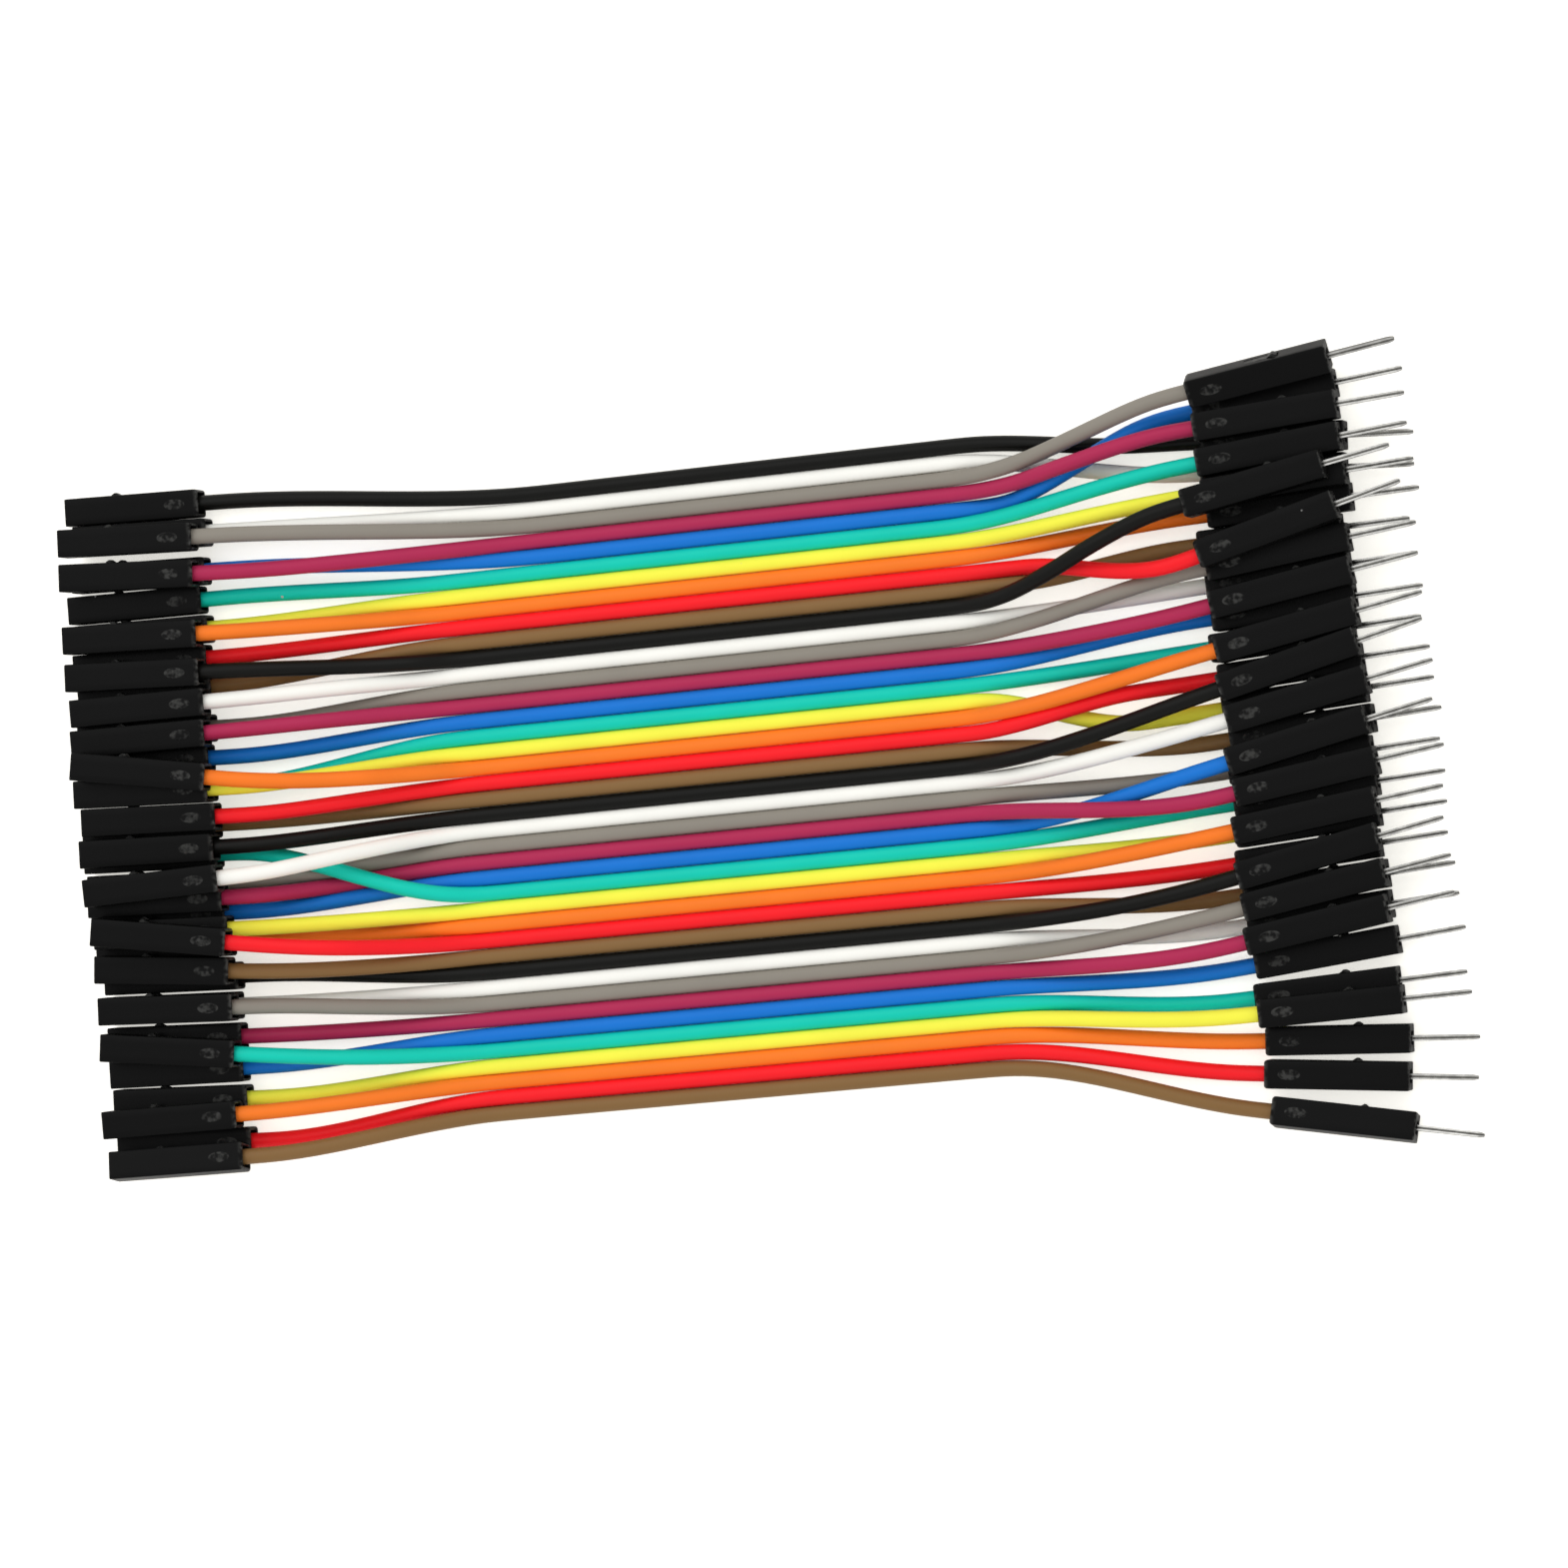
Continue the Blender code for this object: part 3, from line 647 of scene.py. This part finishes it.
@dataclass
class Terminal:
    """Crimp terminal: a socket box or a folded pin, a neck and a crimp round the wire."""

    housing: Housing = field(default_factory=Housing)
    clearance: float = 0.06 * MM
    socket_length: float = 6.40 * MM
    sheet: float = 0.20 * MM
    lip: float = 0.45 * MM
    box_corner: float = 0.12 * MM
    crimp_corner: float = 0.30 * MM
    neck_corner: float = 0.10 * MM
    core_corner: float = 0.05 * MM
    core_share: float = 0.2
    crimp_share: float = 0.8
    neck: float = 0.90 * MM
    crimp_start: float = 3.60 * MM
    crimp_stop: float = 1.20 * MM
    pin_length: float = 6.00 * MM
    pin_width: float = 0.50 * MM
    pin_root: float = 0.80 * MM
    pin_taper: float = 0.55 * MM
    pin_blunt: float = 0.50
    pin_rings: tuple[float, ...] = (0.0, 0.06, 0.2, 0.5, 0.8, 1.0, 1.25)
    seam_half: float = 0.096 * MM
    seam_depth: float = 0.128 * MM
    sharp_degrees: float = 30.0
    section: SquareSection = field(default_factory=lambda: SquareSection(arc_steps=3))

    def body(self, parts: MeshParts) -> None:
        """Add the open box with its lips, the neck and the crimp, as one wall carried along X."""
        front = -self.housing.length + self.housing.front_wall + self.clearance
        back = front + self.socket_length
        outer = self.housing.channel / 2 - self.clearance
        inner = outer - self.sheet
        crimp, core = outer - self.crimp_share * self.sheet, self.core_share * self.neck
        rows = np.array([
            (front, self.lip + self.sheet / 2, 0.08 * MM),
            (front + 0.15 * MM, outer, self.box_corner),
            (back - 0.3 * MM, outer, self.box_corner),
            (back, self.neck / 2, self.neck_corner),
            (-self.crimp_start - 0.2 * MM, self.neck / 2, self.neck_corner),
            (-self.crimp_start, outer, self.crimp_corner),
            (-self.crimp_stop, outer, self.crimp_corner),
            (-self.crimp_stop, crimp, self.crimp_corner),
            (-self.crimp_start + 0.3 * MM, crimp, self.crimp_corner),
            (-self.crimp_start + 0.2 * MM, core, self.core_corner),
            (back - 0.9 * MM, core, self.core_corner),
            (back - 1.0 * MM, inner, self.neck_corner),
            (front + 0.6 * MM, inner, self.neck_corner),
            (front + 0.1 * MM, self.lip, 0.06 * MM),
        ])
        rings = self.section.rings(rows)
        parts.add(rings, grid_faces(*rings.shape[:2], closed_rows=True), 0.0)

    def pin(self, parts: MeshParts) -> None:
        """Add the pin: a folded square bar with a seam along its top and a tapered, rounded tip."""
        root = -self.housing.length + self.housing.front_wall + self.pin_root
        tip = -self.housing.length - self.pin_length
        share = np.array(self.pin_rings)
        x = np.concatenate([[root], tip + self.pin_taper * share[::-1]])
        taper = self.pin_blunt + (1.0 - self.pin_blunt) * np.sqrt(np.minimum(share, 1.0))
        size = np.concatenate([[1.0], taper[::-1]])
        half, seam = self.pin_width / 2, self.seam_half
        ring = np.array([
            (-half, -half), (half, -half), (half, half), (seam, half),
            (0.0, half - self.seam_depth), (-seam, half), (-half, half),
        ])[::-1]
        rings = np.stack([
            np.repeat(x[:, None], len(ring), axis=1),
            size[:, None] * ring[None, :, 0],
            size[:, None] * ring[None, :, 1],
        ], axis=-1)
        parts.add_tube(rings, 0.0)

    def build(self, name: str, matrix: np.ndarray, kind: Connector) -> bpy.types.Object:
        """Make one terminal at its place.

        Args:
            name: the piece's name.
            matrix: its place.
            kind: a socket or a pin.

        Returns:
            The new object.
        """
        parts = MeshParts()
        self.body(parts)
        if kind is Connector.PIN:
            self.pin(parts)
        return parts.finish(name, matrix, self.sharp_degrees)


@dataclass
class InsulatedWire:
    """Round insulation with the fine ridges where the bond to its neighbours was."""

    layout: RibbonLayout
    insertion: float = 3.00 * MM
    sides: int = 20
    ridge: float = 0.014 * MM
    ridge_sharpness: int = 60
    sharp_degrees: float = 60.0

    def build(self, number: int, name: str) -> tuple[bpy.types.Object, np.ndarray]:
        """Make one wire: a circle with two small ridges carried along its route.

        Args:
            number: the jumper.
            name: the piece's name.

        Returns:
            The new object and its centreline.
        """
        path = self.layout.route(number, self.insertion)
        tangent = np.gradient(path, axis=0)
        tangent /= np.linalg.norm(tangent, axis=1, keepdims=True)
        side = np.cross(np.array([0.0, 0.0, 1.0]), tangent)
        side /= np.linalg.norm(side, axis=1, keepdims=True)
        rise = np.cross(tangent, side)
        angle = np.linspace(0.0, 2 * math.pi, self.sides, endpoint=False)
        ridges = self.ridge * np.abs(np.cos(angle)) ** self.ridge_sharpness
        radius = self.layout.wire_diameter / 2 + ridges
        across = (radius * np.cos(angle))[None, :, None] * side[:, None, :]
        up = (radius * np.sin(angle))[None, :, None] * rise[:, None, :]
        parts = MeshParts()
        parts.add_tube(path[:, None, :] + across + up)
        return parts.finish(name, None, self.sharp_degrees), path


class NodeTree:
    """Short calls for building a shader node tree."""

    def __init__(self, tree: bpy.types.NodeTree) -> None:
        """Keep the tree.

        Args:
            tree: the material's or group's node tree.
        """
        self.tree = tree

    def node(self, kind: str, **settings: object) -> bpy.types.Node:
        """Add a node and set its properties."""
        made = self.tree.nodes.new(kind)
        for key, value in settings.items():
            setattr(made, key, value)
        return made

    def link(self, source: bpy.types.NodeSocket, target: bpy.types.NodeSocket) -> None:
        """Join two sockets."""
        self.tree.links.new(source, target)

    def noise(
        self, vector: bpy.types.NodeSocket, scale: float, detail: float
    ) -> bpy.types.NodeSocket:
        """Noise value of a scale and detail."""
        made = self.node("ShaderNodeTexNoise")
        made.inputs["Scale"].default_value = scale
        made.inputs["Detail"].default_value = detail
        self.link(vector, made.inputs["Vector"])
        return made.outputs["Fac"]

    def math(self, operation: str, *values: object) -> bpy.types.NodeSocket:
        """Result of a math node of numbers and sockets."""
        made = self.node("ShaderNodeMath", operation=operation)
        for socket, value in zip(made.inputs, values):
            if isinstance(value, bpy.types.NodeSocket):
                self.link(value, socket)
            else:
                socket.default_value = value
        return made.outputs[0]

    def range(
        self, value: bpy.types.NodeSocket, source: tuple, target: tuple
    ) -> bpy.types.NodeSocket:
        """Value mapped from one range to another, clamped."""
        made = self.node("ShaderNodeMapRange")
        self.link(value, made.inputs["Value"])
        for name, number in zip(("From Min", "From Max", "To Min", "To Max"), source + target):
            made.inputs[name].default_value = number
        return made.outputs["Result"]


class SurfaceGroups:
    """Shader node groups that several finishes share."""

    fine_detail = 3.0
    slow_detail = 2.0
    tone_source = (0.3, 0.7)
    speck_size = 0.16

    def __init__(self) -> None:
        """Build the groups once."""
        self.grain = self.build_grain()
        self.dust = self.build_dust()

    @staticmethod
    def start(
        name: str, inputs: dict[str, float], outputs: tuple[str, ...]
    ) -> tuple[NodeTree, object, object]:
        """Start a group with a vector and number inputs.

        Args:
            name: the group's name.
            inputs: number inputs and their defaults.
            outputs: number outputs.

        Returns:
            The tree, its input node and its output node.
        """
        group = bpy.data.node_groups.new(name, "ShaderNodeTree")
        group.interface.new_socket("Vector", in_out="INPUT", socket_type="NodeSocketVector")
        for label, value in inputs.items():
            made = group.interface.new_socket(label, in_out="INPUT", socket_type="NodeSocketFloat")
            made.default_value = value
        for label in outputs:
            group.interface.new_socket(label, in_out="OUTPUT", socket_type="NodeSocketFloat")
        tree = NodeTree(group)
        return tree, tree.node("NodeGroupInput"), tree.node("NodeGroupOutput")

    def build_grain(self) -> bpy.types.NodeTree:
        """Fine moulded or extruded grain: a height, and a slow drift of tone."""
        inputs = {"Scale": 9000.0, "Drift": 160.0}
        tree, given, result = self.start("fine grain", inputs, ("Height", "Tone"))
        fine = tree.node("ShaderNodeTexNoise")
        slow = tree.node("ShaderNodeTexNoise")
        kinds = ((fine, "Scale", self.fine_detail), (slow, "Drift", self.slow_detail))
        for made, label, detail in kinds:
            made.inputs["Detail"].default_value = detail
            tree.link(given.outputs["Vector"], made.inputs["Vector"])
            tree.link(given.outputs[label], made.inputs["Scale"])
        tree.link(fine.outputs["Fac"], result.inputs["Height"])
        tone = tree.range(slow.outputs["Fac"], self.tone_source, (0.0, 1.0))
        tree.link(tone, result.inputs["Tone"])
        return tree.tree

    def build_dust(self) -> bpy.types.NodeTree:
        """Sparse pale specks: small round cells of a scattered few."""
        tree, given, result = self.start("dust specks", {"Scale": 900.0, "Amount": 0.04}, ("Mask",))
        cells = tree.node("ShaderNodeTexVoronoi")
        cells.inputs["Randomness"].default_value = 1.0
        tree.link(given.outputs["Vector"], cells.inputs["Vector"])
        tree.link(given.outputs["Scale"], cells.inputs["Scale"])
        parted = tree.node("ShaderNodeSeparateColor")
        tree.link(cells.outputs["Color"], parted.inputs["Color"])
        chosen = tree.math("LESS_THAN", parted.outputs["Red"], given.outputs["Amount"])
        size = tree.math("MULTIPLY", parted.outputs["Green"], self.speck_size)
        close = tree.math("LESS_THAN", cells.outputs["Distance"], size)
        tree.link(tree.math("MULTIPLY", chosen, close), result.inputs["Mask"])
        return tree.tree


@dataclass(frozen=True)
class Finish:
    """One surface: its colour, gloss, grain, dust, rubbed spots with painted edge highlight, and
    painted shade at a slant.
    """

    name: str
    colour: tuple[float, float, float]
    roughness: float
    roughness_swing: tuple[float, float] = (-0.04, 0.06)
    metallic: float = 0.0
    grain_scale: float = 9000.0
    grain_bump: float = 0.15
    bump_height: float = 0.02 * MM
    drift_scale: float = 160.0
    tone_drift: float = 0.06
    dust: float = 0.02
    dust_colour: tuple[float, float, float] = (190, 186, 178)
    # Pale colour for rubbed spots and for painted highlight along edges, mixed in by the vertex
    # attribute.
    wear_and_highlight_colour: tuple[float, float, float] | None = None
    wear_and_highlight_share: float = 0.5
    patch_scale: float = 2200.0
    patch_detail: float = 3.0
    patch_source: tuple[float, float] = (0.42, 0.62)
    patch_target: tuple[float, float] = (0.04, 1.0)
    specular: float = 0.5
    # Painted shade: how far the colour is mixed to black where the surface turns from the camera.
    slant_painted_shade: float = 0.0
    slant_painted_shade_source: tuple[float, float] = (0.06, 0.55)

    def material(self, groups: SurfaceGroups) -> bpy.types.Material:
        """Build the material once.

        Args:
            groups: the shared node groups.

        Returns:
            The material of this name.
        """
        known = bpy.data.materials.get(self.name)
        if known is not None:
            return known
        material = bpy.data.materials.new(self.name)
        material.use_nodes = True
        tree = NodeTree(material.node_tree)
        shader = material.node_tree.nodes["Principled BSDF"]
        shader.inputs["Metallic"].default_value = self.metallic
        shader.inputs["Specular IOR Level"].default_value = self.specular
        where = tree.node("ShaderNodeTexCoord").outputs["Object"]
        grain = tree.node("ShaderNodeGroup", node_tree=groups.grain)
        grain.inputs["Scale"].default_value = self.grain_scale
        grain.inputs["Drift"].default_value = self.drift_scale
        tree.link(where, grain.inputs["Vector"])
        dust = tree.node("ShaderNodeGroup", node_tree=groups.dust)
        dust.inputs["Amount"].default_value = self.dust
        tree.link(where, dust.inputs["Vector"])
        base = linear(self.colour)
        dark = tuple(value * (1.0 - self.tone_drift) for value in base[:3]) + (1.0,)
        colour = self.mix(tree, grain.outputs["Tone"], dark, base)
        # Rubbed spots and painted edge highlight: the pale colour mixed in by the vertex attribute,
        # in noisy patches.
        if self.wear_and_highlight_colour is not None:
            worn_or_highlit = tree.node("ShaderNodeAttribute", attribute_name="wear_and_highlight").outputs["Fac"]
            patches = tree.noise(where, self.patch_scale, self.patch_detail)
            patchy = tree.range(patches, self.patch_source, self.patch_target)
            share = tree.math("MULTIPLY", tree.math("MULTIPLY", worn_or_highlit, patchy), self.wear_and_highlight_share)
            colour = self.mix(tree, share, colour, linear(self.wear_and_highlight_colour))
        # Painted shade: the colour darkens towards black as the surface turns from the camera,
        # which paints the pins' dark sides and seam walls.
        if self.slant_painted_shade > 0.0:
            facing = tree.node("ShaderNodeLayerWeight").outputs["Facing"]
            share = tree.range(facing, self.slant_painted_shade_source, (0.0, self.slant_painted_shade))
            colour = self.mix(tree, share, colour, (0.0, 0.0, 0.0, 1.0))
        colour = self.mix(tree, dust.outputs["Mask"], colour, linear(self.dust_colour))
        tree.link(colour, shader.inputs["Base Color"])
        low, high = (self.roughness + swing for swing in self.roughness_swing)
        rough = tree.range(grain.outputs["Tone"], (0.0, 1.0), (low, high))
        tree.link(rough, shader.inputs["Roughness"])
        bump = tree.node("ShaderNodeBump")
        bump.inputs["Strength"].default_value = self.grain_bump
        bump.inputs["Distance"].default_value = self.bump_height
        tree.link(grain.outputs["Height"], bump.inputs["Height"])
        tree.link(bump.outputs["Normal"], shader.inputs["Normal"])
        return material

    @staticmethod
    def mix(tree: NodeTree, share: object, first: object, second: object) -> bpy.types.NodeSocket:
        """Mix two colours, each a socket or four numbers, by a share."""
        made = tree.node("ShaderNodeMix", data_type="RGBA")
        tree.link(share, made.inputs["Factor"])
        for slot, value in ((6, first), (7, second)):
            if isinstance(value, bpy.types.NodeSocket):
                tree.link(value, made.inputs[slot])
            else:
                made.inputs[slot].default_value = value
        return made.outputs[2]


@dataclass
class Finishes:
    """Every finish of the ribbon."""

    groups: SurfaceGroups = field(default_factory=SurfaceGroups)
    # The pale colour on the housings is rubbing on the mark and tongue, and painted highlight on
    # the bevelled edges and rims.
    housing: Finish = Finish(
        "black moulded plastic", (12, 12, 12), roughness=0.34, specular=0.07,
        grain_scale=14000.0, grain_bump=0.20, dust=0.012, dust_colour=(120, 120, 118),
        wear_and_highlight_colour=(172, 172, 168), wear_and_highlight_share=0.75,
    )
    metal: Finish = Finish(
        "tinned terminal", (205, 204, 200), roughness=0.24, metallic=1.0,
        grain_scale=6000.0, grain_bump=0.3, drift_scale=1500.0, tone_drift=0.30, dust=0.0,
        # painted shade on the pins' sides and seams, seen at a slant
        slant_painted_shade=0.8,
    )

    def insulation(self, colour: Insulation) -> bpy.types.Material:
        """Soft PVC of one colour."""
        made = Finish(
            f"{colour.label} insulation", colour.value, roughness=0.38, specular=0.13,
            grain_bump=0.10, tone_drift=0.05, dust=0.004,
        )
        return made.material(self.groups)


@dataclass
class Ribbon:
    """The forty jumpers."""

    layout: RibbonLayout
    finishes: Finishes
    housing: Housing = field(default_factory=Housing)
    terminal: Terminal = field(default_factory=Terminal)

    def colour(self, number: int) -> Insulation:
        """Colour of a jumper's wire; the ten repeat."""
        colours = list(Insulation)
        return colours[(number - 1) % len(colours)]

    def stand_in(self, number: int, kind: Connector | None, part: str) -> str:
        """Name of the construction's node that a piece of a jumper stands for.

        Args:
            number: the jumper.
            kind: the end that the piece is on, or None for the wire.
            part: housing or terminal, or wire.

        Returns:
            The node's name.
        """
        label = self.colour(number).label
        whole = f"jumper_{number:02d}_{label}"
        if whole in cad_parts:
            return whole
        return f"wire_{number}_{label}" if kind is None else f"{kind.value}_{part}_{number}"

    def place(
        self, piece: bpy.types.Object, node: str, slot: str, material: bpy.types.Material
    ) -> None:
        """Dress a piece and fix it to the frame."""
        piece.data.materials.append(material)
        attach(piece, "root")
        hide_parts(node)

    def build_end(self, number: int, kind: Connector) -> list[bpy.types.Object]:
        """Build the housing and the terminal of one end.

        Args:
            number: the jumper.
            kind: which end.

        Returns:
            The two pieces.
        """
        matrix = self.layout.end_matrix(number, kind)
        label = kind.name.lower()
        shell = self.housing.build(f"{label}_housing_{number:02d}", matrix, kind)
        node = self.stand_in(number, kind, "housing")
        plastic = self.finishes.housing.material(self.finishes.groups)
        self.place(shell, node, "housing_plastic", plastic)
        crimp = self.terminal.build(f"{label}_terminal_{number:02d}", matrix, kind)
        node = self.stand_in(number, kind, "terminal")
        metal = self.finishes.metal.material(self.finishes.groups)
        self.place(crimp, node, "terminal_metal", metal)
        return [shell, crimp]

    def build_jumper(self, number: int) -> None:
        """Build one jumper: its wire and both of its ends."""
        colour = self.colour(number)
        wire = InsulatedWire(self.layout)
        piece, path = wire.build(number, f"insulation_{number:02d}_{colour.label}")
        node = self.stand_in(number, None, "wire")
        self.place(piece, node, f"pvc_{colour.label}", self.finishes.insulation(colour))
        self.build_end(number, Connector.SOCKET)
        plug = self.build_end(number, Connector.PIN)
        LOG.info("jumper %d, %s: %.1f mm of wire", number, colour.label, path_length(path) / MM)

    def build(self) -> None:
        """Build every jumper."""
        for number in range(1, len(ENDS) + 1):
            self.build_jumper(number)


@dataclass
class Studio:
    """Floor, soft light and the camera of the photograph's view."""

    layout: RibbonLayout
    image_pixels: float = 1569.0
    focal_pixels: float = 6660.0
    distance: float = 600.0 * MM
    tilt: float = 14.0
    roll: float = 5.6
    lane_offset: float = 0.63 * MM
    sensor: float = 36.0
    clip: tuple[float, float] = (0.01, 20.0)
    floor_size: float = 6.0
    floor_colour: tuple[float, ...] = (0.95, 0.93, 0.89, 1.0)
    floor_roughness: float = 0.9
    glow_colour: tuple[float, ...] = (1.0, 0.985, 0.92, 1.0)
    floor_glow: float = 0.62
    world_colour: tuple[float, ...] = (1.0, 1.0, 1.0, 1.0)
    world_strength: float = 0.85
    key_power: float = 3.2
    key_size: float = 1.2
    key_place: tuple[float, float, float] = (-0.35, 0.55, 0.95)

    def add_camera(self) -> None:
        """Set the camera by the angles and the distance read from the photograph."""
        tilt, roll = math.radians(self.tilt), math.radians(-self.roll)
        cosine, sine = math.cos(roll), math.sin(roll)
        turn = np.array([[cosine, -sine, 0.0], [sine, cosine, 0.0], [0.0, 0.0, 1.0]])
        right = turn @ np.array([math.cos(tilt), 0.0, -math.sin(tilt)])
        up = turn @ np.array([0.0, 1.0, 0.0])
        back = turn @ np.array([math.sin(tilt), 0.0, math.cos(tilt)])
        aim = self.layout.shift - np.array([0.0, self.lane_offset, 0.0])
        matrix = Matrix.Identity(4)
        for column, vector in enumerate((right, up, back, aim + back * self.distance)):
            for row in range(3):
                matrix[row][column] = vector[row]
        data = bpy.data.cameras.new("camera")
        data.sensor_width = self.sensor
        data.lens = self.sensor * self.focal_pixels / self.image_pixels
        data.clip_start, data.clip_end = self.clip
        camera = bpy.data.objects.new("camera", data)
        camera.matrix_world = matrix
        bpy.context.scene.collection.objects.link(camera)
        bpy.context.scene.camera = camera

    def add_floor(self) -> None:
        """Add the floor, whose own glow, seen by the camera only, makes it white."""
        half = self.floor_size / 2
        mesh = bpy.data.meshes.new("floor")
        signs = ((-1, -1), (1, -1), (1, 1), (-1, 1))
        corners = [(x * half, y * half, 0.0) for x, y in signs]
        mesh.from_pydata(corners, [], [(0, 1, 2, 3)])
        floor = bpy.data.objects.new("floor", mesh)
        bpy.context.scene.collection.objects.link(floor)
        material = bpy.data.materials.new("white floor")
        material.use_nodes = True
        tree = NodeTree(material.node_tree)
        shader = material.node_tree.nodes["Principled BSDF"]
        shader.inputs["Base Color"].default_value = self.floor_colour
        shader.inputs["Roughness"].default_value = self.floor_roughness
        shader.inputs["Specular IOR Level"].default_value = 0.0
        shader.inputs["Emission Color"].default_value = self.glow_colour
        rays = tree.node("ShaderNodeLightPath")
        glow = tree.math("MULTIPLY", rays.outputs["Is Camera Ray"], self.floor_glow)
        tree.link(glow, shader.inputs["Emission Strength"])
        mesh.materials.append(material)

    def add_light(self) -> None:
        """Add an even pale world and one broad soft lamp from the upper left."""
        world = bpy.data.worlds.new("studio")
        world.use_nodes = True
        background = world.node_tree.nodes["Background"]
        background.inputs["Color"].default_value = self.world_colour
        background.inputs["Strength"].default_value = self.world_strength
        bpy.context.scene.world = world
        data = bpy.data.lights.new("key", "AREA")
        data.shape = "DISK"
        data.size = self.key_size
        data.energy = self.key_power
        key = bpy.data.objects.new("key", data)
        place = Vector(self.key_place)
        key.location = place
        key.rotation_mode = "QUATERNION"
        key.rotation_quaternion = place.to_track_quat("Z", "Y")
        bpy.context.scene.collection.objects.link(key)

    def build(self) -> None:
        """Build the whole studio."""
        self.add_camera()
        self.add_floor()
        self.add_light()
        bpy.context.scene.view_settings.view_transform = "Standard"


def main() -> None:
    """Build the studio and the ribbon."""
    logging.basicConfig(level=logging.INFO)
    layout = RibbonLayout()
    layout.find_shift()
    Studio(layout).build()
    Ribbon(layout, Finishes()).build()


if __name__ == "__main__":
    main()
